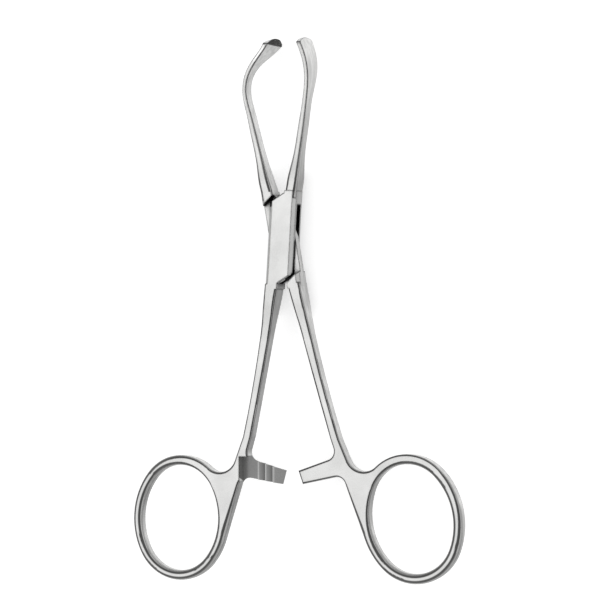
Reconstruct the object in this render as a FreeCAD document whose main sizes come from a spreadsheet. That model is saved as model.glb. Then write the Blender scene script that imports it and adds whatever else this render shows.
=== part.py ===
"""Towel clamp with a box lock, millimetres.

It lies open on its back, as it is photographed: +X to the right, +Y towards the jaws,
+Z up through its thickness. The origin is the pivot axis at the back face of the box.
The female half is the right jaw, the box and the left handle. The male half is the left
jaw, the tongue through the box and the right handle. A flush rivet joins them.
"""

import FreeCAD, Part
import math
import os

from FreeCAD import Placement, Rotation, Vector

SIZES = {
    # Box lock
    "box_depth": 4.8,
    "box_width": 6.8,
    "box_bevel": 0.8,
    "cheek": 1.45,
    "slot_play": 0.04,
    "shoulder_reach": 8.5,
    "shoulder_angle": 34.0,
    "shoulder_bevel": 0.25,
    "slot_end": 8.2,
    "tongue_corner": 7.0,
    "female_tilt": -3.5,
    "male_tilt": 10.0,
    # Rivet
    "rivet_radius": 1.75,
    "rivet_play": 0.03,
    # Jaws, each a straight leg, a bend and a straight end
    "jaw_root_along": 11.5,
    "female_jaw_root": 1.95,
    "male_jaw_root": -1.9,
    "female_leg": 26.2,
    "female_leg_angle": -9.1,
    "female_bend_radius": 16.0,
    "female_bend_angle": 40.0,
    "male_leg": 23.5,
    "male_leg_angle": 14.4,
    "male_bend_radius": 9.0,
    "male_bend_angle": 61.0,
    "jaw_root_width": 3.0,
    "jaw_neck_width": 1.7,
    "jaw_blade_width": 1.1,
    "jaw_neck_depth": 3.2,
    "jaw_tip_depth": 7.9,
    "jaw_neck_at": 11.0,
    "female_flare": 17.0,
    "male_flare": 10.0,
    "jaw_edge_share": 0.26,
    # Pads, on planes through the pivot axis
    "female_pad_angle": -5.97,
    "male_pad_angle": 2.92,
    "tip_reach": 48.1,
    "tip_arch": 9.6,
    "tip_arch_back": 1.25,
    "tip_corner": 1.2,
    "groove_pitch": 0.5,
    "groove_depth": 0.14,
    "jaw_bury": 1.6,
    "jaw_overrun": 2.0,
    # Handles
    "shank_root_along": -12.2,
    "female_shank_root": -1.8,
    "male_shank_root": 1.5,
    "shank_root_width": 3.3,
    "shank_mid_width": 2.4,
    "shank_low_width": 2.3,
    "shank_mid_along": -27.0,
    "shank_above_rack": 9.6,
    "female_shank_mid": -5.12,
    "female_shank_low": -9.25,
    "male_shank_mid": 7.6,
    "male_shank_low": 13.85,
    "handle_depth": 3.15,
    "handle_start": 1.2,
    "handle_taper": 12.0,
    "shank_edge": 0.5,
    "ring_edge": 1.05,
    "crotch_radius": 4.5,
    "web_width": 4.2,
    # Finger rings
    "female_ring_distance": 73.35,
    "male_ring_distance": 73.9,
    "female_ring_angle": -22.2,
    "male_ring_angle": 26.7,
    "ring_width": 23.3,
    "ring_length": 28.2,
    "ring_end_radius": 10.6,
    "ring_radial": 2.4,
    "ring_reach": 0.62,
    "ring_web_share": 0.25,
    "female_ring_lean": -6.0,
    "male_ring_lean": 13.0,
    # Ratchet racks
    "rack_above_ring": 16.05,
    "female_rack_angle": 0.2,
    "male_rack_angle": 4.5,
    "rack_tip_height": 3.3,
    "rack_root_height": 4.8,
    "rack_length": 10.8,
    "rack_slant": 2.6,
    "rack_tip_slant": 0.9,
    "rack_recess": 11.5,
    "rack_slope": 11.5,
    "rack_fillet": 2.2,
    "tooth_pitch": 1.97,
    "tooth_height": 0.7,
    "tooth_ramp": 3.3,
    "tooth_back": 0.1,
    "rack_play": 0.06,
    # Overlap of cutting shapes
    "beyond": 30.0,
}
TOOTH_COUNT = 3
JAW_STATIONS = 10
NEAR = 0.01
STEP = 0.05
PROBES = 24
PROBE_RADIUS = 0.1
HALVES = {"female": -1, "male": 1}
ALONG = Vector(0, 1, 0)
ACROSS = Vector(1, 0, 0)
UP = Vector(0, 0, 1)

doc = FreeCAD.newDocument("towel_clamp")
sheet = doc.addObject("Spreadsheet::Sheet", "Sizes")
for row, (alias, number) in enumerate(SIZES.items(), start=1):
    sheet.set("A%d" % row, alias)
    sheet.set("B%d" % row, str(number))
    sheet.setAlias("B%d" % row, alias)
doc.recompute()


def size(alias):
    return float(sheet.get(alias))


MIDDLE = size("box_depth") / 2
HALF_WIDTH = size("box_width") / 2
BEYOND = size("beyond")
RACK_RADIUS = size("female_ring_distance") - size("rack_above_ring")


def turned(point, degrees):
    """A point or direction turned about the pivot axis."""
    return Rotation(UP, degrees).multVec(point)


def shape_of(name, shape):
    item = doc.addObject("Part::Feature", name)
    item.Shape = shape
    return item


def extrusion(name, base, direction, length):
    """A solid from a plan, its length an expression of the sizes."""
    item = doc.addObject("Part::Extrusion", name)
    item.Base = base
    item.DirMode = "Custom"
    item.Dir = direction
    item.setExpression("LengthFwd", length)
    item.Solid = True
    return item


def joined(name, items):
    item = doc.addObject("Part::MultiFuse", name)
    item.Shapes = items
    item.Refine = True
    return item


def common(name, items):
    item = doc.addObject("Part::MultiCommon", name)
    item.Shapes = items
    return item


def cut(name, base, tools):
    item = doc.addObject("Part::Cut", name)
    item.Base = base
    item.Tool = tools[0] if len(tools) == 1 else joined(name + "_tools", tools)
    return item


def plate(name, points, low, depth, degrees):
    """A flat plate with corners in a half's own plan, its height and depth as expressions."""
    corners = [turned(Vector(x, y, 0), degrees) for x, y in points]
    outline = shape_of(name + "_plan", Part.Face(Part.makePolygon(corners + corners[:1])))
    item = extrusion(name, outline, UP, depth)
    item.setExpression("Placement.Base.z", low)
    return item


def edged(kind, name, base, amounts):
    """Fillet or chamfer the edges to which a rule gives an amount at each end."""
    doc.recompute()
    item = doc.addObject(kind, name)
    item.Base = base
    rows = [(number, amounts(edge)) for number, edge in enumerate(base.Shape.Edges, start=1)]
    item.Edges = [(number, *pair) for number, pair in rows if pair]
    return item


def smooth(share):
    share = min(max(share, 0.0), 1.0)
    return share * share * (3 - 2 * share)


def level(edge):
    return abs(edge.valueAt(edge.LastParameter).z - edge.valueAt(edge.FirstParameter).z) < STEP


# Box and tongue


def shoulder(across):
    """Height of the oblique upper shoulder over a point across the box."""
    slope = math.tan(math.radians(size("shoulder_angle")))
    return size("shoulder_reach") + (across + HALF_WIDTH) * slope


def box_blank(name):
    """The box or the tongue at full depth, with the roots of its jaw and its shank."""
    jaw_side = -HALVES[name]
    jaw_in = size(name + "_jaw_root") - jaw_side * size("jaw_root_width") / 2
    jaw_out = size(name + "_jaw_root") + jaw_side * size("jaw_root_width") / 2
    shank_in = size(name + "_shank_root") + jaw_side * size("shank_root_width") / 2
    shank_out = size(name + "_shank_root") - jaw_side * size("shank_root_width") / 2
    wall = jaw_side * HALF_WIDTH
    reach = size("shoulder_reach" if name == "female" else "tongue_corner")
    corner = size("tongue_corner")
    points = [
        (-wall, reach),
        (jaw_in, shoulder(jaw_in)),
        (jaw_in, size("jaw_root_along")),
        (jaw_out, size("jaw_root_along")),
        (wall, corner),
        (wall, -reach),
        (shank_in, -shoulder(-shank_in)),
        (shank_in, size("shank_root_along")),
        (shank_out, size("shank_root_along")),
        (-wall, -corner),
    ]
    tilt = size(name + "_tilt")
    blank = plate(name + "_box", points, "0", "Sizes.box_depth", tilt)

    def bevel(edge):
        if not level(edge):
            return None
        middle = turned(edge.CenterOfMass, -tilt)
        span = turned(edge.tangentAt(edge.FirstParameter), -tilt)
        climb = math.degrees(math.asin(min(abs(span.y), 1.0)))
        if abs(abs(middle.x) - HALF_WIDTH) < NEAR:
            return size("box_bevel"), size("box_bevel")
        if name == "female" and abs(climb - size("shoulder_angle")) < 1:
            return size("shoulder_bevel"), size("shoulder_bevel")
        return None

    return edged("Part::Chamfer", name + "_bevelled_box", blank, bevel)


def slot(name):
    """The passage for the tongue, open at both sides of the box."""
    end = size("slot_end")
    inner = size("female_jaw_root") - size("jaw_root_width") / 2
    low_inner = size("female_shank_root") + size("shank_root_width") / 2
    points = [
        (BEYOND, end),
        (HALF_WIDTH, end),
        (inner, shoulder(inner)),
        (-BEYOND, shoulder(inner)),
        (-BEYOND, -end),
        (-HALF_WIDTH, -end),
        (low_inner, -shoulder(-low_inner)),
        (BEYOND, -shoulder(-low_inner)),
    ]
    low = "Sizes.cheek - Sizes.slot_play"
    return plate(name, points, low, "Sizes.box_depth - 2 * (%s)" % low, size("female_tilt"))


def recess(name, low):
    """The step down from a face of the male half to its tongue, between the shoulders."""
    points = [
        (-2 * HALF_WIDTH, shoulder(-2 * HALF_WIDTH)),
        (2 * HALF_WIDTH, shoulder(2 * HALF_WIDTH)),
        (2 * HALF_WIDTH, -shoulder(-2 * HALF_WIDTH)),
        (-2 * HALF_WIDTH, -shoulder(2 * HALF_WIDTH)),
    ]
    return plate(name, points, low, "Sizes.beyond", size("male_tilt"))


def round_bar(name, radius):
    """A cylinder on the pivot axis, as long as the box is deep."""
    item = doc.addObject("Part::Cylinder", name)
    item.setExpression("Radius", radius)
    item.setExpression("Height", "Sizes.box_depth")
    return item


# Jaws


def jaw_point(name, way):
    """Centre and direction of a jaw, a given way along it from the root of its leg."""
    turn = 1 if name == "female" else -1
    start_angle = size(name + "_leg_angle")
    root = Vector(size(name + "_jaw_root"), size("jaw_root_along"), 0)
    root = turned(root, size(name + "_tilt"))
    heading = turned(ALONG, start_angle)
    leg = size(name + "_leg")
    if way <= leg:
        return root + heading * way, start_angle
    radius = size(name + "_bend_radius")
    bend = min((way - leg) / radius, math.radians(size(name + "_bend_angle")))
    centre = root + heading * leg + turned(ALONG, start_angle + turn * 90) * radius
    angle = start_angle + turn * math.degrees(bend)
    rest = way - leg - bend * radius
    return centre - turned(ALONG, angle + turn * 90) * radius + turned(ALONG, angle) * rest, angle


def jaw_length(name):
    """Way along a jaw's centre line until it crosses the plane of its pad."""
    plane = turned(ACROSS, size(name + "_pad_angle"))
    side = 1 if name == "female" else -1
    way = size(name + "_leg")
    while side * jaw_point(name, way)[0].dot(plane) > 0:
        way += STEP
    return way


def rounded_section(width, depth, corner):
    """A rounded rectangle in the XZ plane, centred on the origin."""
    x, z = width / 2 - corner, depth / 2 - corner
    diagonal = corner * math.sqrt(0.5)
    edges = []
    for quarter in range(4):
        sx, sz = ((1, 1), (-1, 1), (-1, -1), (1, -1))[quarter]
        at = Vector(sx * x, 0, sz * z)
        side_point = at + Vector(sx * corner, 0, 0)
        flat_point = at + Vector(0, 0, sz * corner)
        middle = at + Vector(sx * diagonal, 0, sz * diagonal)
        first, last = (side_point, flat_point) if sx == sz else (flat_point, side_point)
        edges.append(Part.Arc(first, middle, last).toShape())
    joins = [
        Part.LineSegment(
            edges[k].valueAt(edges[k].LastParameter),
            edges[(k + 1) % 4].valueAt(edges[(k + 1) % 4].FirstParameter),
        ).toShape()
        for k in range(4)
    ]
    return Part.Wire([edge for pair in zip(edges, joins) for edge in pair])


def jaw_section(name, way, length):
    neck = smooth(way / size("jaw_neck_at"))
    blade = smooth((way - size("jaw_neck_at")) / (size(name + "_leg") - size("jaw_neck_at")))
    width = size("jaw_root_width") + (size("jaw_neck_width") - size("jaw_root_width")) * neck
    width += (size("jaw_blade_width") - size("jaw_neck_width")) * blade
    flare = smooth(1 - (length - way) / size(name + "_flare"))
    depth = size("box_depth") + (size("jaw_neck_depth") - size("box_depth")) * neck
    depth += (size("jaw_tip_depth") - size("jaw_neck_depth")) * flare
    wire = rounded_section(width, depth, size("jaw_edge_share") * width)
    centre, angle = jaw_point(name, way)
    wire.Placement = Placement(centre + UP * MIDDLE, Rotation(UP, angle))
    return wire


def tip_room():
    """The jaw tips' outline seen from the side: a wide arch with a rounded corner at each end."""
    arch = size("tip_arch")
    corner = size("tip_corner")
    side = size("jaw_tip_depth") / 2 + size("slot_play")
    centre = Vector(-BEYOND, size("tip_reach") - arch, MIDDLE - size("tip_arch_back"))
    bends = []
    for way in (1, -1):
        height = way * (side - corner) + size("tip_arch_back")
        along = math.sqrt((arch - corner) ** 2 - height**2)
        bend = centre + Vector(0, along, height)
        leave = centre + Vector(0, along, height) * (arch / (arch - corner))
        outward = (leave - bend).normalize() + UP * way
        bends.append((bend + UP * (way * corner), bend + outward.normalize() * corner, leave))
    (front_side, front_bend, front_arch), (back_side, back_bend, back_arch) = bends
    foot = ALONG * front_side.y
    peak = centre + ALONG * arch
    outline = [
        Part.LineSegment(front_side - foot, front_side).toShape(),
        Part.Arc(front_side, front_bend, front_arch).toShape(),
        Part.Arc(front_arch, peak, back_arch).toShape(),
        Part.Arc(back_arch, back_bend, back_side).toShape(),
        Part.LineSegment(back_side, back_side - ALONG * back_side.y).toShape(),
        Part.LineSegment(back_side - ALONG * back_side.y, front_side - foot).toShape(),
    ]
    return Part.Face(Part.Wire(outline))


def serrations(name, lean):
    """Parallel slanting grooves over a pad, as one cutting tool of four-sided bars."""
    depth = size("groove_depth")
    away = turned(ACROSS, size(name + "_pad_angle")) * depth
    up_pad = turned(ALONG, size(name + "_pad_angle"))
    middle = up_pad * (size("tip_reach") - size("jaw_blade_width")) + UP * MIDDLE
    run = (up_pad + UP * lean).normalize()
    step = (up_pad - UP * lean).normalize()
    reach = (size("jaw_tip_depth") + size("tip_arch") / 2) / 2
    count = round(reach * math.sqrt(0.5) / size("groove_pitch"))
    bars = []
    for k in range(-count, count + 1):
        start = middle + step * (k * size("groove_pitch")) - run * reach
        corners = [start - step * depth, start + away, start + step * depth, start - away]
        bar = Part.Face(Part.makePolygon(corners + corners[:1]))
        bars.append(bar.extrude(run * (2 * reach)))
    return shape_of("%s_serrations_%d" % (name, lean + 1), Part.makeCompound(bars))


def jaw(name):
    """A forged leg that necks down, bends inward and widens into a flat tip."""
    length = jaw_length(name)
    first = -size("jaw_bury")
    step = (length + size("jaw_overrun") - first) / JAW_STATIONS
    sections = [
        shape_of("%s_jaw_section_%d" % (name, k), jaw_section(name, first + k * step, length))
        for k in range(JAW_STATIONS + 1)
    ]
    loft = doc.addObject("Part::Loft", name + "_jaw_blank")
    loft.Sections = sections
    loft.Solid = True
    loft.Ruled = False
    beyond_pad = doc.addObject("Part::Box", name + "_beyond_pad")
    for side in ("Length", "Width", "Height"):
        beyond_pad.setExpression(side, "Sizes.beyond")
    start = -BEYOND if name == "female" else 0
    angle = size(name + "_pad_angle")
    place = Vector(start, size("jaw_root_along") + BEYOND / 2, MIDDLE - BEYOND / 2)
    beyond_pad.Placement = Placement(turned(place, angle), Rotation(UP, angle))
    tip_plan = shape_of(name + "_tip_plan", tip_room())
    room = extrusion(name + "_tip_room", tip_plan, ACROSS, "2 * Sizes.beyond")
    trimmed = common(name + "_jaw_trimmed", [loft, room])
    padded = cut(name + "_jaw_padded", trimmed, [beyond_pad])
    grooved = cut(name + "_jaw_grooved", padded, [serrations(name, 1)])
    return cut(name + "_jaw", grooved, [serrations(name, -1)])


# Handles


def oval(growth):
    """A finger ring's outline of four tangent arcs, grown from its centre line."""
    half_width = size("ring_width") / 2
    half_length = size("ring_length") / 2
    end = size("ring_end_radius")
    rise = half_length - end
    side = (rise**2 + half_width**2 - end**2) / (2 * (half_width - end))
    offset = side - half_width
    lean = math.atan2(rise, offset)
    arcs = []
    for sx, sy in ((1, 1), (-1, 1), (-1, -1), (1, -1)):
        joint = Vector(sx * (side * math.cos(lean) - offset), sy * side * math.sin(lean), 0)
        out = Vector(sx * math.cos(lean), sy * math.sin(lean), 0)
        arcs.append(joint + out * growth)
    top = Vector(0, half_length + growth, 0)
    right = Vector(half_width + growth, 0, 0)
    ne, nw, sw, se = arcs
    return Part.Wire(
        [
            Part.Arc(ne, top, nw).toShape(),
            Part.Arc(nw, -right, sw).toShape(),
            Part.Arc(sw, -top, se).toShape(),
            Part.Arc(se, right, ne).toShape(),
        ]
    )


def ring_disc(name, growth):
    """A finger ring's outline as a full disc in its place."""
    face = Part.Face(oval(growth))
    distance = size(name + "_ring_distance")
    place = turned(Vector(0, -distance, 0), size(name + "_ring_angle"))
    face.Placement = Placement(place, Rotation(UP, size(name + "_ring_lean")))
    return face


def touch_point(name, start):
    """Where a straight line from the shank's inner edge touches the outside of the ring."""
    outline = ring_disc(name, size("ring_radial") / 2).OuterWire
    side = HALVES[name]
    return max(
        outline.discretize(Number=720),
        key=lambda point: -side * math.atan2(point.x - start.x, start.y - point.y),
    )


def shank_face(name):
    """The shank's plan, two arcs from the box to the rack and a run down to the ring."""
    side = HALVES[name]
    root = Vector(size(name + "_shank_root"), size("shank_root_along") + size("handle_start"), 0)
    root = turned(root, size(name + "_tilt"))
    mid = Vector(size(name + "_shank_mid"), size("shank_mid_along"), 0)
    low = Vector(size(name + "_shank_low"), size("shank_above_rack") - RACK_RADIUS, 0)
    out_root = ACROSS * (side * size("shank_root_width") / 2)
    out_mid = ACROSS * (side * size("shank_mid_width") / 2)
    out_low = ACROSS * (side * size("shank_low_width") / 2)
    touch = touch_point(name, low - out_low)
    foot = touch + ACROSS * (side * size("web_width"))
    return Part.Face(
        Part.Wire(
            [
                Part.Arc(root + out_root, mid + out_mid, low + out_low).toShape(),
                Part.LineSegment(low + out_low, foot).toShape(),
                Part.LineSegment(foot, touch).toShape(),
                Part.LineSegment(touch, low - out_low).toShape(),
                Part.Arc(low - out_low, mid - out_mid, root - out_root).toShape(),
                Part.LineSegment(root - out_root, root + out_root).toShape(),
            ]
        )
    )


def rack_frame(name, along, across):
    """A point of a rack's plan: along from its tip to its root, across towards the ring."""
    angle = size(name + "_rack_angle")
    point = Vector(HALVES[name] * along, -RACK_RADIUS - across, 0)
    return turned(point, angle)


def rack_face(name):
    """The rack's plan, from its tip into the shank that carries it."""
    slope = math.tan(math.radians(size("rack_slope")))
    tip = size("rack_tip_height") / 2
    root = size("rack_root_height") / 2
    length = size("rack_length")
    spread = (root - tip) / length
    corners = [rack_frame(name, 0, -tip), rack_frame(name, size("rack_tip_slant"), tip)]
    for along, side in ((length + size("rack_slant"), 1), (length, -1)):
        corners.append(rack_frame(name, along, side * (tip + spread * along) - along * slope))
    return Part.Face(Part.makePolygon(corners + corners[:1]))


def handle_depth_profile():
    """The handle seen from its side: as deep as the box at its root, then even and thin."""
    half = size("handle_depth") / 2
    root = size("shank_root_along")
    taper = size("handle_taper")
    drop = MIDDLE - half
    radius = (taper**2 + drop**2) / (4 * drop)
    turn = math.asin(taper / 2 / radius) / 2
    sag = radius * (1 - math.cos(turn))
    run = radius * math.sin(turn)
    stations = [
        (0, MIDDLE),
        (root, MIDDLE),
        (root - run, MIDDLE - sag),
        (root - taper / 2, (MIDDLE + half) / 2),
        (root - taper + run, half + sag),
        (root - taper, half),
        (-size("male_ring_distance") - size("ring_length"), half),
    ]
    runs = []
    for face in (1, -1):
        start, bend, hip, turning, waist, thin, end = (
            Vector(0, along, MIDDLE + face * rise) for along, rise in stations
        )
        runs.append(
            [
                Part.LineSegment(start, bend).toShape(),
                Part.Arc(bend, hip, turning).toShape(),
                Part.Arc(turning, waist, thin).toShape(),
                Part.LineSegment(thin, end).toShape(),
                Part.LineSegment(end, Vector(0, end.y, MIDDLE)).toShape(),
            ]
        )
    front, back = runs
    near_end = Part.LineSegment(Vector(), UP * (2 * MIDDLE)).toShape()
    return Part.Face(Part.Wire(front + back[::-1] + [near_end]))


def hollow_corner(solid, edge):
    """Whether an upright edge is a crotch: more than half of what is round it is metal."""
    if level(edge) or edge.Length < size("box_depth") / 2:
        return False
    probe = ACROSS * PROBE_RADIUS
    around = [edge.CenterOfMass + turned(probe, k * 360 / PROBES) for k in range(PROBES)]
    return sum(solid.isInside(point, NEAR, True) for point in around) > 0.6 * PROBES


def handle(name):
    half_band = size("ring_radial") / 2
    plans = {
        "shank": shank_face(name),
        "rack": rack_face(name),
        "ring": ring_disc(name, half_band),
    }
    slabs = []
    for part, face in plans.items():
        plan = shape_of("%s_%s_plan" % (name, part), face)
        slabs.append(extrusion("%s_%s_slab" % (name, part), plan, UP, "Sizes.box_depth"))
    sharp = joined(name + "_handle_sharp", slabs)
    doc.recompute()

    def crotch(edge):
        if not hollow_corner(sharp.Shape, edge):
            return None
        at_ring = slabs[2].Shape.distToShape(edge)[0] < NEAR
        radius = size("crotch_radius" if at_ring else "rack_fillet")
        return radius, radius

    tall = edged("Part::Fillet", name + "_handle_tall", sharp, crotch)
    hole = shape_of(name + "_ring_hole_plan", ring_disc(name, -half_band))
    hole_bar = extrusion(name + "_ring_hole", hole, UP, "Sizes.beyond")
    opened = cut(name + "_handle_open", tall, [hole_bar])
    profile = shape_of(name + "_side_profile", handle_depth_profile())
    wide = extrusion(name + "_side_solid", profile, ACROSS, "4 * Sizes.beyond")
    wide.Placement.Base = ACROSS * (-2 * BEYOND)
    blank = common(name + "_handle_blank", [opened, wide])
    start = size("shank_root_along") + size("handle_start")
    centre = ring_disc(name, 0).CenterOfMass
    side = HALVES[name]

    def edge_radius(point):
        """Full roundness on the ring's free part, less on the shank and the web."""
        on_ring = (point - centre).Length < size("ring_reach") * size("ring_length")
        free = side * (point.x - centre.x) > -size("ring_web_share") * size("ring_width")
        low = point.y < centre.y
        return size("ring_edge" if on_ring and (free or low) else "shank_edge")

    def rim(edge):
        if not level(edge) or edge.CenterOfMass.y > start:
            return None
        first, last = (edge.valueAt(at) for at in (edge.FirstParameter, edge.LastParameter))
        return edge_radius(first), edge_radius(last)

    return edged("Part::Fillet", name + "_handle", blank, rim)


def rack_cut(name):
    """What is cut away over a rack, down to its saw teeth and the flat at their root."""
    crest = size("rack_play")
    root = crest + size("tooth_height")
    pitch = size("tooth_pitch")
    before = -size("rack_slant")
    points = [(before, -BEYOND), (before, root), (0, root)]
    for tooth in range(TOOTH_COUNT):
        peak = size("tooth_ramp") + tooth * pitch
        points += [(peak, crest), (peak + size("tooth_back"), root)]
    points += [(size("rack_recess"), root), (size("rack_recess"), -BEYOND)]
    above = size("rack_root_height")
    corners = [
        rack_frame(name, along, -above) + UP * (MIDDLE + HALVES[name] * depth)
        for along, depth in points
    ]
    face = shape_of(name + "_teeth_profile", Part.Face(Part.makePolygon(corners + corners[:1])))
    down = rack_frame(name, 0, 1) - rack_frame(name, 0, 0)
    return extrusion(name + "_teeth_room", face, down, "2 * Sizes.rack_root_height")


def main():
    rivet = round_bar("rivet", "Sizes.rivet_radius")
    female_jaw = jaw("female")
    female_handle = cut("female_toothed_handle", handle("female"), [rack_cut("female")])
    female_whole = joined("female_whole", [box_blank("female"), female_jaw, female_handle])
    cheek_bore = round_bar("cheek_bore", "Sizes.rivet_radius")
    female = cut("female_half", female_whole, [slot("slot"), cheek_bore])
    male_jaw = jaw("male")
    male_handle = cut("male_toothed_handle", handle("male"), [rack_cut("male")])
    male_whole = joined("male_whole", [box_blank("male"), male_jaw, male_handle])
    tongue_bore = round_bar("tongue_bore", "Sizes.rivet_radius + Sizes.rivet_play")
    front = recess("front_recess", "Sizes.box_depth - Sizes.cheek")
    back = recess("back_recess", "Sizes.cheek - Sizes.beyond")
    male = cut("male_half", male_whole, [front, back, tongue_bore])
    doc.recompute()
    for item in doc.Objects:
        if "Invalid" in item.State or "Error" in item.State:
            raise RuntimeError("%s did not build: %s" % (item.Name, item.State))
    os.makedirs("parts", exist_ok=True)
    parts = {"female_half": female, "male_half": male, "pivot_pin": rivet}
    for node, item in parts.items():
        item.Label = node
        shape = item.Shape
        if shape.isNull() or not shape.isValid() or len(shape.Solids) != 1:
            raise RuntimeError("%s has no single valid solid" % node)
        shape.exportStep("parts/%s.step" % node)


main()
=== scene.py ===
"""Towel clamp in satin stainless steel: its finish, a white table, studio lamps and a camera.

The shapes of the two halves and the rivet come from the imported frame. Metres, with the
pivot axis at the origin: +X to the right, +Y towards the jaws and +Z up.
"""

import math

import bpy
from bpy.props import FloatProperty, FloatVectorProperty, PointerProperty, StringProperty
from mathutils import Euler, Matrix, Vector


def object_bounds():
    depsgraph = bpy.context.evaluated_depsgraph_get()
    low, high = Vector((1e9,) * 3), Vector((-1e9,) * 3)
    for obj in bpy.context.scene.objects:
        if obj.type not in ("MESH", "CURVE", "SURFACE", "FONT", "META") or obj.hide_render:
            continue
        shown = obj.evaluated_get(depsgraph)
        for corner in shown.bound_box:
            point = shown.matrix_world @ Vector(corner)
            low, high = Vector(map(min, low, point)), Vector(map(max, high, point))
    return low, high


bl_info = {
    "name": "Towel Clamp",
    "version": (1, 0, 0),
    "blender": (4, 5, 0),
    "location": "3D View > Sidebar > Clamp",
    "description": "Finish and studio for a box-lock towel clamp in satin stainless steel",
    "category": "Object",
}

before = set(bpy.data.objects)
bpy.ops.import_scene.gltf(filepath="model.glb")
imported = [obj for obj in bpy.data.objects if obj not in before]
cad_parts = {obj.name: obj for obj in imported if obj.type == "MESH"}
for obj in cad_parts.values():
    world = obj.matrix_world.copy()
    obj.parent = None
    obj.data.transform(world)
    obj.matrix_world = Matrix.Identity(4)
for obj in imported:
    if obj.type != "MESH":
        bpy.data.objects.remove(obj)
cad_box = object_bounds()

MM = 0.001
HALVES = ("female_half", "male_half")
STEEL = "bead_matted_stainless_steel"
CLAMP_MIDDLE = Vector((5.3 * MM, -14.8 * MM, 2.4 * MM))
# Planes of the two serrated pads, as their angles to +Y round the pivot axis
PAD_ANGLES = (math.radians(2.92), math.radians(-5.97))

# Along the clamp: the stretch where the jaws' painted reflection tones take over from the
# handles', the box to both sides of its middle, the end of the racks and the start of the pads
JAWS_START, JAWS_END = 14 * MM, 34 * MM
BOX_MIDDLE, BOX_REACH = -1 * MM, 17 * MM
RACKS_BELOW, PADS_ABOVE = -40 * MM, 40 * MM
# Round the pivot axis: as far as the painted dark edge line of the flush rivet would reach
RIVET_REACH = 2.3 * MM

# A wall looks upwards by no more than this either way, where 1 is a front face and -1 the back
WALL_LIMIT = 0.35
# The steep side of a ratchet tooth is less flat than this
RAMP_LIMIT = 0.96
# A face looks inwards where its height over the middle, times how far it looks upwards, is less
LOOKS_IN_LIMIT = -0.05 * MM

# Painted reflection: the part of the steel's light that a rounded edge gives back, by how far
# it looks upwards, with darker walls and a painted dark line just short of the front face
HANDLE_PAINTED_TONES = (
    (-1.0, 1.0),
    (-0.4, 1.0),
    (-0.15, 0.72),
    (0.1, 0.55),
    (0.4, 0.46),
    (0.7, 0.42),
    (0.80, 0.10),
    (0.975, 0.10),
    (0.997, 1.0),
)
JAW_PAINTED_TONES = (
    (-1.0, 1.0),
    (-0.6, 1.0),
    (-0.2, 0.76),
    (0.5, 0.72),
    (0.66, 0.60),
    (0.74, 0.10),
    (0.87, 0.10),
    (0.93, 1.0),
)
# The same painted reflection for a wall, from one that faces the rings to one that faces the jaws
HANDLE_WALL_REFLECTION = {"From Min": -0.3, "From Max": 0.3, "To Min": 0.5, "To Max": 1.15}
JAW_WALL_REFLECTION = {"From Min": -0.3, "From Max": 0.3, "To Min": 0.85, "To Max": 1.15}
# Painted dark line along a sharp edge, by how well the rounded normal keeps to the plain one
PAINTED_EDGE_LINE = {"From Min": 0.965, "From Max": 0.998, "To Min": 0.1, "To Max": 1.0}
# Painted shade in a hollow, by how open it is
HOLLOW_SHADE = {
    "interpolation_type": "SMOOTHSTEP",
    "From Min": 0.5,
    "From Max": 0.88,
    "To Min": 0.01,
}
# Painted highlight along a ratchet tooth's crest and painted shade down its ramp, by its
# distance from the middle of the thickness: the crest first
CREST_DEPTHS = {"From Min": 0.06 * MM, "From Max": 0.2 * MM}
CREST_HIGHLIGHT_GAIN = 1.9
RAMP = {"From Min": 0.15 * MM, "From Max": 0.76 * MM, "To Min": 1.15, "To Max": 0.4}
# Distance from the plane of a serrated pad within which the steel gets the pad's painted shade
PAD_DEPTHS = {"From Min": 0.16 * MM, "From Max": 0.20 * MM}
# For the dark and light spots of the grain, the clouds and the streaks on walls
GRAIN = {"From Min": 0.25, "From Max": 0.75, "To Min": 0.86, "To Max": 1.06}
CLOUDS = {"From Min": 0.3, "From Max": 0.7, "To Min": 0.9, "To Max": 1.06}
STREAKS = {"From Min": 0.35, "From Max": 0.65, "To Min": 0.84, "To Max": 1.1}

# Gloss: faces are matted where they look straight up, and the clouds vary the roughness
MATTED = {"interpolation_type": "SMOOTHSTEP", "From Min": 0.93, "From Max": 0.995}
WANDER = {"From Min": 0.3, "From Max": 0.7, "To Min": -0.03, "To Max": 0.03}
RELIEF = {"Strength": 0.15, "Distance": 0.02 * MM}
CLOUD_WIDTH = 7 * MM
# Buffing runs along the clamp, so its lines are drawn out along Y
LINE_STRETCH = (1, 0.04, 1)
BEVEL_SAMPLES = 4
HOLLOW_SAMPLES = 8

WHITE = "#FFFFFF"
LAMINATE = "#E8E8E8"
TABLE_GLOW = 0.55
ROOM_LIGHT = 0.6
# Strip lamps, as degrees across the clamp and degrees along it from straight above
STRIPS = {
    "left_strip": (-60, 0),
    "right_strip": (70, 0),
    "upper_strip": (0, 58),
    "lower_strip": (0, -58),
}
STRIP_WIDTH, STRIP_LENGTH = 0.22, 0.9
VIEW_SWING = math.radians(25)
NEAREST_SEEN = 0.05


def linear(hex_colour):
    """Linear RGBA of an sRGB colour written as six hex digits."""
    channels = [int(hex_colour[k : k + 2], 16) / 255 for k in (1, 3, 5)]
    return [c / 12.92 if c <= 0.04045 else ((c + 0.055) / 1.055) ** 2.4 for c in channels] + [1.0]


def add_node(tree, kind, settings=None, links=None):
    """Add a node, set its options and sockets, and link sockets to other nodes' outputs."""
    made = tree.nodes.new(kind)
    for key, value in (settings or {}).items():
        if isinstance(key, int) or key in made.inputs:
            made.inputs[key].default_value = value
        else:
            setattr(made, key, value)
    for key, output in (links or {}).items():
        tree.links.new(output, made.inputs[key])
    return made


def new_material(name):
    """A material with an empty node tree."""
    material = bpy.data.materials.new(name)
    material.use_nodes = True
    material.node_tree.nodes.clear()
    return material


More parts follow.
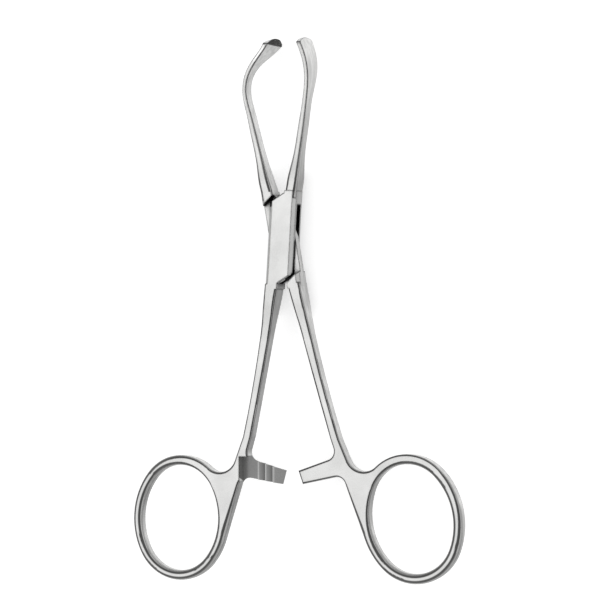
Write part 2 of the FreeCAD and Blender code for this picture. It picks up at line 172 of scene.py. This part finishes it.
class SteelSettings(bpy.types.PropertyGroup):
    colour: StringProperty(
        name="Steel colour",
        description="Colour of the bare stainless steel, as sRGB hex digits",
        default="#E6E6E5",
    )
    face_roughness: FloatProperty(
        name="Face roughness",
        description="Roughness of the flat faces, matted with glass beads",
        default=0.30,
        min=0.05,
        max=1.0,
        subtype="FACTOR",
    )
    edge_roughness: FloatProperty(
        name="Edge roughness",
        description="Roughness of the rounded edges and walls, buffed after matting",
        default=0.13,
        min=0.02,
        max=1.0,
        subtype="FACTOR",
    )
    grain: FloatProperty(
        name="Bead grain",
        description="Width of one dimple of the matted face, drawn coarse enough to show",
        default=0.22 * MM,
        unit="LENGTH",
        precision=6,
    )
    # Painted shade: how dark the machined faces of the racks are painted
    machined: FloatProperty(
        name="Ratchet teeth",
        description="Part of the steel's light that the machined faces of the racks give back",
        default=0.33,
        subtype="FACTOR",
    )
    # Painted shade: how dark the serrated pads are painted
    pad: FloatProperty(
        name="Serrated pads",
        description="Part of the steel's light that the serrated pads give back",
        default=0.5,
        subtype="FACTOR",
    )
    # Width of the painted dark line along sharp edges
    painted_line_width: FloatProperty(
        name="Edge line",
        description="Width of the dark line along a sharp edge",
        default=0.45 * MM,
        unit="LENGTH",
        precision=6,
    )
    # How far the painted shade in hollows reaches
    shade_reach: FloatProperty(
        name="Hollow reach",
        description="How near two faces stand where the steel between them looks darker",
        default=3.0 * MM,
        unit="LENGTH",
        precision=6,
    )
    buff_line: FloatProperty(
        name="Buffing line",
        description="Spacing of the lines that buffing leaves on the walls, coarse enough to show",
        default=0.8 * MM,
        unit="LENGTH",
        precision=6,
    )


class StageSettings(bpy.types.PropertyGroup):
    table_size: FloatProperty(
        name="Table size",
        description="Width of the white table",
        default=4.0,
        unit="LENGTH",
    )
    lamp_distance: FloatProperty(
        name="Lamp distance",
        description="Distance from the clamp to each lamp",
        default=0.6,
        unit="LENGTH",
    )
    camera_distance: FloatProperty(
        name="Camera distance",
        description="Distance from the clamp's front to the camera",
        default=0.58,
        unit="LENGTH",
    )
    lamp_glow: FloatProperty(
        name="Lamp glow",
        description="Brightness of each strip lamp's surface, where 1 is white",
        default=0.6,
        min=0.0,
    )
    view_angle: FloatProperty(
        name="View angle",
        description="Angle that the picture takes in",
        default=math.radians(14.04),
        subtype="ANGLE",
    )
    aim: FloatVectorProperty(
        name="Aim",
        description="Point on the clamp's front at the middle of the picture",
        default=(5.33 * MM, -14.76 * MM, 4.8 * MM),
        subtype="TRANSLATION",
    )


def surface_noise(tree, place, settings):
    """Grain of the beads, clouds of the hand's pressure and lines of the buffing wheel."""
    stretched = add_node(tree, "ShaderNodeMapping", {"Scale": LINE_STRETCH}, {"Vector": place})
    made = []
    for width, detail, roughness, vector in (
        (settings.grain, 2.0, 0.6, place),
        (CLOUD_WIDTH, 3.0, 0.5, place),
        (settings.buff_line, 2.0, 0.55, stretched.outputs[0]),
    ):
        noise = add_node(
            tree,
            "ShaderNodeTexNoise",
            {"Scale": 1 / width, "Detail": detail, "Roughness": roughness},
            {"Vector": vector},
        )
        made.append(noise.outputs["Fac"])
    return made


def painted_edge_reflection(tree, facing, jaw_part):
    """Painted reflection round an edge, from the back over the wall to the front face."""
    upward = add_node(
        tree, "ShaderNodeMapRange", {"From Min": -1.0, "From Max": 1.0}, {"Value": facing["Z"]}
    )
    ramps = []
    for tones in (HANDLE_PAINTED_TONES, JAW_PAINTED_TONES):
        ramp = add_node(tree, "ShaderNodeValToRGB", links={"Fac": upward.outputs[0]})
        stops = ramp.color_ramp.elements
        for upward_part, _ in tones[1:-1]:
            stops.new((upward_part + 1) / 2)
        for stop, (upward_part, tone) in zip(stops, tones):
            stop.position = (upward_part + 1) / 2
            stop.color = (tone, tone, tone, 1.0)
        ramps.append(ramp.outputs["Color"])
    return add_node(
        tree,
        "ShaderNodeMix",
        {"data_type": "FLOAT"},
        {"Factor": jaw_part, "A": ramps[0], "B": ramps[1]},
    ).outputs[0]


def wall_reflection_and_streaks(tree, facing, wall_part, jaw_part, lines):
    """Painted reflection on the walls, lighter where they face the jaws, with streaks along them.
    """
    turns = [
        add_node(tree, "ShaderNodeMapRange", tones, {"Value": facing["Y"]}).outputs[0]
        for tones in (HANDLE_WALL_REFLECTION, JAW_WALL_REFLECTION)
    ]
    turn_reflection = add_node(
        tree,
        "ShaderNodeMix",
        {"data_type": "FLOAT"},
        {"Factor": jaw_part, "A": turns[0], "B": turns[1]},
    )
    streak = add_node(tree, "ShaderNodeMapRange", STREAKS, {"Value": lines})
    streaked = add_node(
        tree,
        "ShaderNodeMath",
        {"operation": "MULTIPLY"},
        {0: turn_reflection.outputs[0], 1: streak.outputs[0]},
    )
    return add_node(
        tree,
        "ShaderNodeMix",
        {"data_type": "FLOAT", "A": 1.0},
        {"Factor": wall_part, "B": streaked.outputs[0]},
    ).outputs[0]


def painted_edge_lines(tree, place, settings):
    """Painted dark line along every sharp edge, apart from that of the flush rivet."""
    bevel = add_node(
        tree, "ShaderNodeBevel", {"samples": BEVEL_SAMPLES, "Radius": settings.painted_line_width}
    )
    surface = add_node(tree, "ShaderNodeNewGeometry").outputs
    same_way = add_node(
        tree,
        "ShaderNodeVectorMath",
        {"operation": "DOT_PRODUCT"},
        {0: bevel.outputs[0], 1: surface["Normal"]},
    )
    painted_line = add_node(
        tree, "ShaderNodeMapRange", PAINTED_EDGE_LINE, {"Value": same_way.outputs["Value"]}
    )
    flat_spot = add_node(tree, "ShaderNodeMapping", {"Scale": (1, 1, 0)}, {"Vector": place})
    from_axis = add_node(
        tree, "ShaderNodeVectorMath", {"operation": "LENGTH"}, {0: flat_spot.outputs[0]}
    )
    at_rivet = add_node(
        tree,
        "ShaderNodeMath",
        {"operation": "LESS_THAN", 1: RIVET_REACH},
        {0: from_axis.outputs["Value"]},
    )
    return add_node(
        tree,
        "ShaderNodeMath",
        {"operation": "MAXIMUM"},
        {0: painted_line.outputs[0], 1: at_rivet.outputs[0]},
    ).outputs[0]


def painted_hollow_shade(tree, spot, settings):
    """Painted shade in the hollows in and beside the box."""
    hollow = add_node(
        tree,
        "ShaderNodeAmbientOcclusion",
        {"samples": HOLLOW_SAMPLES, "Distance": settings.shade_reach},
    )
    shade_in_hollows = add_node(tree, "ShaderNodeMapRange", HOLLOW_SHADE, {"Value": hollow.outputs["AO"]})
    box_part = add_node(
        tree,
        "ShaderNodeMath",
        {"operation": "COMPARE", 1: BOX_MIDDLE, 2: BOX_REACH},
        {0: spot["Y"]},
    )
    return add_node(
        tree,
        "ShaderNodeMix",
        {"data_type": "FLOAT", "A": 1.0},
        {"Factor": box_part.outputs[0], "B": shade_in_hollows.outputs[0]},
    ).outputs[0]


def painted_rack_shade(tree, spot, facing, wall_part, flatness, settings):
    """Where the machined faces of the racks are, and their painted tone.

    These faces look towards the middle of the thickness. They are painted dark, with a painted
    highlight along the crest of each tooth and painted shade down the steeper ramps.
    """
    above_middle = add_node(
        tree, "ShaderNodeMath", {"operation": "SUBTRACT", 1: CLAMP_MIDDLE.z}, {0: spot["Z"]}
    )
    inward = add_node(
        tree,
        "ShaderNodeMath",
        {"operation": "MULTIPLY"},
        {0: above_middle.outputs[0], 1: facing["Z"]},
    )
    looks_in = add_node(
        tree,
        "ShaderNodeMath",
        {"operation": "LESS_THAN", 1: LOOKS_IN_LIMIT},
        {0: inward.outputs[0]},
    )
    off_wall = add_node(
        tree,
        "ShaderNodeMath",
        {"operation": "GREATER_THAN"},
        {0: looks_in.outputs[0], 1: wall_part},
    )
    on_handle = add_node(
        tree, "ShaderNodeMath", {"operation": "LESS_THAN", 1: RACKS_BELOW}, {0: spot["Y"]}
    )
    rack_part = add_node(
        tree,
        "ShaderNodeMath",
        {"operation": "MULTIPLY"},
        {0: off_wall.outputs[0], 1: on_handle.outputs[0]},
    )
    depth_in = add_node(
        tree, "ShaderNodeMath", {"operation": "ABSOLUTE"}, {0: above_middle.outputs[0]}
    )
    crest_tones = {"To Min": CREST_HIGHLIGHT_GAIN * settings.machined, "To Max": settings.machined}
    crest_highlight = add_node(
        tree, "ShaderNodeMapRange", CREST_DEPTHS | crest_tones, {"Value": depth_in.outputs[0]}
    )
    ramp_shade = add_node(tree, "ShaderNodeMapRange", RAMP, {"Value": depth_in.outputs[0]})
    on_ramp = add_node(
        tree, "ShaderNodeMath", {"operation": "LESS_THAN", 1: RAMP_LIMIT}, {0: flatness}
    )
    slope_tone = add_node(
        tree,
        "ShaderNodeMix",
        {"data_type": "FLOAT", "A": 1.0},
        {"Factor": on_ramp.outputs[0], "B": ramp_shade.outputs[0]},
    )
    painted_rack_tone = add_node(
        tree,
        "ShaderNodeMath",
        {"operation": "MULTIPLY"},
        {0: crest_highlight.outputs[0], 1: slope_tone.outputs[0]},
    )
    return rack_part.outputs[0], painted_rack_tone.outputs[0]


def painted_pad_shade(tree, place, spot, settings):
    """Painted shade on the serrated pads, on two planes through the pivot axis."""
    distances = []
    for angle in PAD_ANGLES:
        across = add_node(
            tree,
            "ShaderNodeVectorMath",
            {"operation": "DOT_PRODUCT", 1: (math.cos(angle), math.sin(angle), 0)},
            {0: place},
        )
        distance = add_node(
            tree, "ShaderNodeMath", {"operation": "ABSOLUTE"}, {0: across.outputs["Value"]}
        )
        distances.append(distance.outputs[0])
    nearest = add_node(
        tree,
        "ShaderNodeMath",
        {"operation": "MINIMUM"},
        {0: distances[0], 1: distances[1]},
    )
    below_tip = add_node(
        tree, "ShaderNodeMath", {"operation": "LESS_THAN", 1: PADS_ABOVE}, {0: spot["Y"]}
    )
    off_pad = add_node(
        tree,
        "ShaderNodeMath",
        {"operation": "ADD"},
        {0: nearest.outputs[0], 1: below_tip.outputs[0]},
    )
    pad_painted_tones = {"To Min": settings.pad, "To Max": 1.0}
    return add_node(
        tree, "ShaderNodeMapRange", PAD_DEPTHS | pad_painted_tones, {"Value": off_pad.outputs[0]}
    ).outputs[0]


def gloss(tree, flatness, grain, cloud, lines, settings):
    """Roughness, and relief of beads on the faces and buffing lines on edges and walls."""
    matted = add_node(tree, "ShaderNodeMapRange", MATTED, {"Value": flatness})
    finish = add_node(
        tree,
        "ShaderNodeMapRange",
        {"To Min": settings.edge_roughness, "To Max": settings.face_roughness},
        {"Value": matted.outputs[0]},
    )
    wander = add_node(tree, "ShaderNodeMapRange", WANDER, {"Value": cloud})
    roughness = add_node(
        tree,
        "ShaderNodeMath",
        {"operation": "ADD"},
        {0: finish.outputs[0], 1: wander.outputs[0]},
    )
    height = add_node(
        tree,
        "ShaderNodeMix",
        {"data_type": "FLOAT"},
        {"Factor": matted.outputs[0], "A": lines, "B": grain},
    )
    relief = add_node(tree, "ShaderNodeBump", RELIEF, {"Height": height.outputs[0]})
    return roughness.outputs[0], relief.outputs[0]


def satin_steel(settings):
    """Stainless steel, matted with glass beads and buffed along its edges.

    The flat faces are an even light grey with a fine grain. The rounded edges are buffed.
    A painted reflection runs along every face as a thin dark line, with a lighter line
    beside it. The walls are a darker grey of painted reflection, lighter where they face the
    jaws. Serrations, ratchet teeth and whatever lies deep in the box lock are painted dark as
    shade, with a painted highlight along each tooth's crest. These painted tones are part of
    the colour, so they stay in place under any light.
    """
    material = new_material(STEEL)
    tree = material.node_tree
    coordinates = add_node(tree, "ShaderNodeTexCoord").outputs
    place = coordinates["Object"]
    facing = add_node(
        tree, "ShaderNodeSeparateXYZ", links={"Vector": coordinates["Normal"]}
    ).outputs
    spot = add_node(tree, "ShaderNodeSeparateXYZ", links={"Vector": place}).outputs
    grain, cloud, lines = surface_noise(tree, place, settings)

    jaw_part = add_node(
        tree,
        "ShaderNodeMapRange",
        {"From Min": JAWS_START, "From Max": JAWS_END},
        {"Value": spot["Y"]},
    ).outputs[0]
    wall_part = add_node(
        tree,
        "ShaderNodeMath",
        {"operation": "COMPARE", 1: 0.0, 2: WALL_LIMIT},
        {0: facing["Z"]},
    ).outputs[0]
    flatness = add_node(
        tree, "ShaderNodeMath", {"operation": "ABSOLUTE"}, {0: facing["Z"]}
    ).outputs[0]

    # Painted reflection round the edges, times the painted dark lines along sharp edges
    painted_outer_tone = add_node(
        tree,
        "ShaderNodeMath",
        {"operation": "MULTIPLY"},
        {0: painted_edge_reflection(tree, facing, jaw_part), 1: painted_edge_lines(tree, place, settings)},
    )
    # On the racks' machined faces, painted dark tone, crest highlight and ramp shade take over
    rack_part, painted_rack_tone = painted_rack_shade(tree, spot, facing, wall_part, flatness, settings)
    shade = add_node(
        tree,
        "ShaderNodeMix",
        {"data_type": "FLOAT"},
        {"Factor": rack_part, "A": painted_outer_tone.outputs[0], "B": painted_rack_tone},
    )
    # Painted wall reflection and streaks, painted shade in hollows and on the pads, then grain and
    # clouds
    for factor in (
        wall_reflection_and_streaks(tree, facing, wall_part, jaw_part, lines),
        painted_hollow_shade(tree, spot, settings),
        painted_pad_shade(tree, place, spot, settings),
        add_node(tree, "ShaderNodeMapRange", GRAIN, {"Value": grain}).outputs[0],
        add_node(tree, "ShaderNodeMapRange", CLOUDS, {"Value": cloud}).outputs[0],
    ):
        shade = add_node(
            tree,
            "ShaderNodeMath",
            {"operation": "MULTIPLY"},
            {0: shade.outputs[0], 1: factor},
        )
    colour = add_node(
        tree,
        "ShaderNodeVectorMath",
        {"operation": "SCALE", 0: linear(settings.colour)[:3]},
        {"Scale": shade.outputs[0]},
    )
    roughness, relief = gloss(tree, flatness, grain, cloud, lines, settings)
    shader = add_node(
        tree,
        "ShaderNodeBsdfPrincipled",
        {"Metallic": 1.0},
        {"Base Color": colour.outputs[0], "Roughness": roughness, "Normal": relief},
    )
    add_node(tree, "ShaderNodeOutputMaterial", links={"Surface": shader.outputs[0]})
    return material


def shown_rays(tree):
    """A value of 1 for what the camera sees, directly, in a reflection or through glass."""
    ray = add_node(tree, "ShaderNodeLightPath").outputs
    seen = add_node(
        tree,
        "ShaderNodeMath",
        {"operation": "MAXIMUM"},
        {0: ray["Is Camera Ray"], 1: ray["Is Glossy Ray"]},
    )
    return add_node(
        tree,
        "ShaderNodeMath",
        {"operation": "MAXIMUM"},
        {0: seen.outputs[0], 1: ray["Is Transmission Ray"]},
    ).outputs[0]


def white_laminate():
    """Matt white laminate, an even white without highlights that keeps a shadow.

    Its glow shows to the camera and in reflections alone, and casts no light.
    """
    material = new_material("white_laminate")
    tree = material.node_tree
    top = add_node(tree, "ShaderNodeBsdfDiffuse", {"Color": linear(LAMINATE)})
    shown_glow = add_node(
        tree,
        "ShaderNodeMath",
        {"operation": "MULTIPLY", 1: TABLE_GLOW},
        {0: shown_rays(tree)},
    )
    glow = add_node(tree, "ShaderNodeEmission", links={"Strength": shown_glow.outputs[0]})
    shader = add_node(tree, "ShaderNodeAddShader", links={0: top.outputs[0], 1: glow.outputs[0]})
    add_node(tree, "ShaderNodeOutputMaterial", links={"Surface": shader.outputs[0]})
    return material


def dress(node_name, material):
    """Give a CAD node this material in place of its own."""
    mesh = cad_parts[node_name].data
    mesh.materials.clear()
    mesh.materials.append(material)


class CLAMP_OT_halves(bpy.types.Operator):
    """Give both halves of the clamp their satin finish"""

    bl_idname = "clamp.halves"
    bl_label = "Finish the Halves"

    def execute(self, context):
        material = satin_steel(context.scene.clamp_steel)
        for name in HALVES:
            dress(name, material)
        return {"FINISHED"}


class CLAMP_OT_rivet(bpy.types.Operator):
    """Give the flush rivet the same finish as the box that it is ground with"""

    bl_idname = "clamp.rivet"
    bl_label = "Finish the Rivet"

    def execute(self, context):
        dress("pivot_pin", bpy.data.materials[STEEL])
        return {"FINISHED"}


class CLAMP_OT_stage(bpy.types.Operator):
    """Lay the white table under the clamp"""

    bl_idname = "clamp.stage"
    bl_label = "Set the Stage"

    def execute(self, context):
        stage = context.scene.clamp_stage
        floor_level = cad_box[0].z
        bpy.ops.object.select_all(action="DESELECT")
        bpy.ops.mesh.primitive_plane_add(size=stage.table_size, location=(0, 0, floor_level))
        table = context.object
        table.name = "white_table"
        table.data.materials.append(white_laminate())
        return {"FINISHED"}


class CLAMP_OT_lights(bpy.types.Operator):
    """Light the clamp with a white room and four strip lamps round it"""

    bl_idname = "clamp.lights"
    bl_label = "Set the Lights"

    def execute(self, context):
        stage = context.scene.clamp_stage
        world = bpy.data.worlds.new("white_room")
        world.use_nodes = True
        tree = world.node_tree
        tree.nodes.clear()
        room, shown_room = [
            add_node(
                tree, "ShaderNodeBackground", {"Color": linear(WHITE), "Strength": strength}
            ).outputs[0]
            for strength in (ROOM_LIGHT, 1.0)
        ]
        mixed = add_node(
            tree, "ShaderNodeMixShader", links={0: shown_rays(tree), 1: room, 2: shown_room}
        )
        add_node(tree, "ShaderNodeOutputWorld", links={"Surface": mixed.outputs[0]})
        context.scene.world = world
        context.scene.view_settings.view_transform = "Standard"
        for name, (across, along) in STRIPS.items():
            data = bpy.data.lights.new(name, "AREA")
            data.shape = "RECTANGLE"
            sides = (STRIP_LENGTH, STRIP_WIDTH) if along else (STRIP_WIDTH, STRIP_LENGTH)
            data.size, data.size_y = sides
            data.energy = stage.lamp_glow * math.pi * STRIP_WIDTH * STRIP_LENGTH
            lamp = bpy.data.objects.new(name, data)
            context.scene.collection.objects.link(lamp)
            turn = Euler((math.radians(-along), math.radians(across), 0))
            direction = turn.to_matrix() @ Vector((0, 0, 1))
            lamp.location = CLAMP_MIDDLE + direction * stage.lamp_distance
            lamp.rotation_euler = turn
            lamp.visible_camera = False
        return {"FINISHED"}


class CLAMP_OT_camera(bpy.types.Operator):
    """Look at the clamp from above, swung to its right side"""

    bl_idname = "clamp.camera"
    bl_label = "Set the Camera"

    def execute(self, context):
        stage = context.scene.clamp_stage
        towards = Euler((0, VIEW_SWING, 0)).to_matrix() @ Vector((0, 0, 1))
        data = bpy.data.cameras.new("camera")
        data.lens = data.sensor_width / 2 / math.tan(stage.view_angle / 2)
        data.clip_start = NEAREST_SEEN
        camera = bpy.data.objects.new("camera", data)
        context.scene.collection.objects.link(camera)
        camera.location = Vector(stage.aim) + towards * stage.camera_distance
        camera.rotation_euler = (0, VIEW_SWING, 0)
        context.scene.camera = camera
        return {"FINISHED"}


class CLAMP_PT_sidebar(bpy.types.Panel):
    bl_label = "Towel Clamp"
    bl_idname = "CLAMP_PT_sidebar"
    bl_space_type = "VIEW_3D"
    bl_region_type = "UI"
    bl_category = "Clamp"

    def draw(self, context):
        for settings in (context.scene.clamp_steel, context.scene.clamp_stage):
            for name in settings.__annotations__:
                self.layout.prop(settings, name)
        for operator in OPERATORS:
            self.layout.operator(operator.bl_idname)


SETTINGS = (SteelSettings, StageSettings)
OPERATORS = (
    CLAMP_OT_halves,
    CLAMP_OT_rivet,
    CLAMP_OT_stage,
    CLAMP_OT_lights,
    CLAMP_OT_camera,
)


def register():
    for item in SETTINGS + OPERATORS + (CLAMP_PT_sidebar,):
        bpy.utils.register_class(item)
    bpy.types.Scene.clamp_steel = PointerProperty(type=SteelSettings)
    bpy.types.Scene.clamp_stage = PointerProperty(type=StageSettings)


def unregister():
    del bpy.types.Scene.clamp_stage
    del bpy.types.Scene.clamp_steel
    for item in reversed(SETTINGS + OPERATORS + (CLAMP_PT_sidebar,)):
        bpy.utils.unregister_class(item)


def main():
    register()
    bpy.ops.clamp.halves()
    bpy.ops.clamp.rivet()
    bpy.ops.clamp.stage()
    bpy.ops.clamp.lights()
    bpy.ops.clamp.camera()


if __name__ == "__main__":
    main()
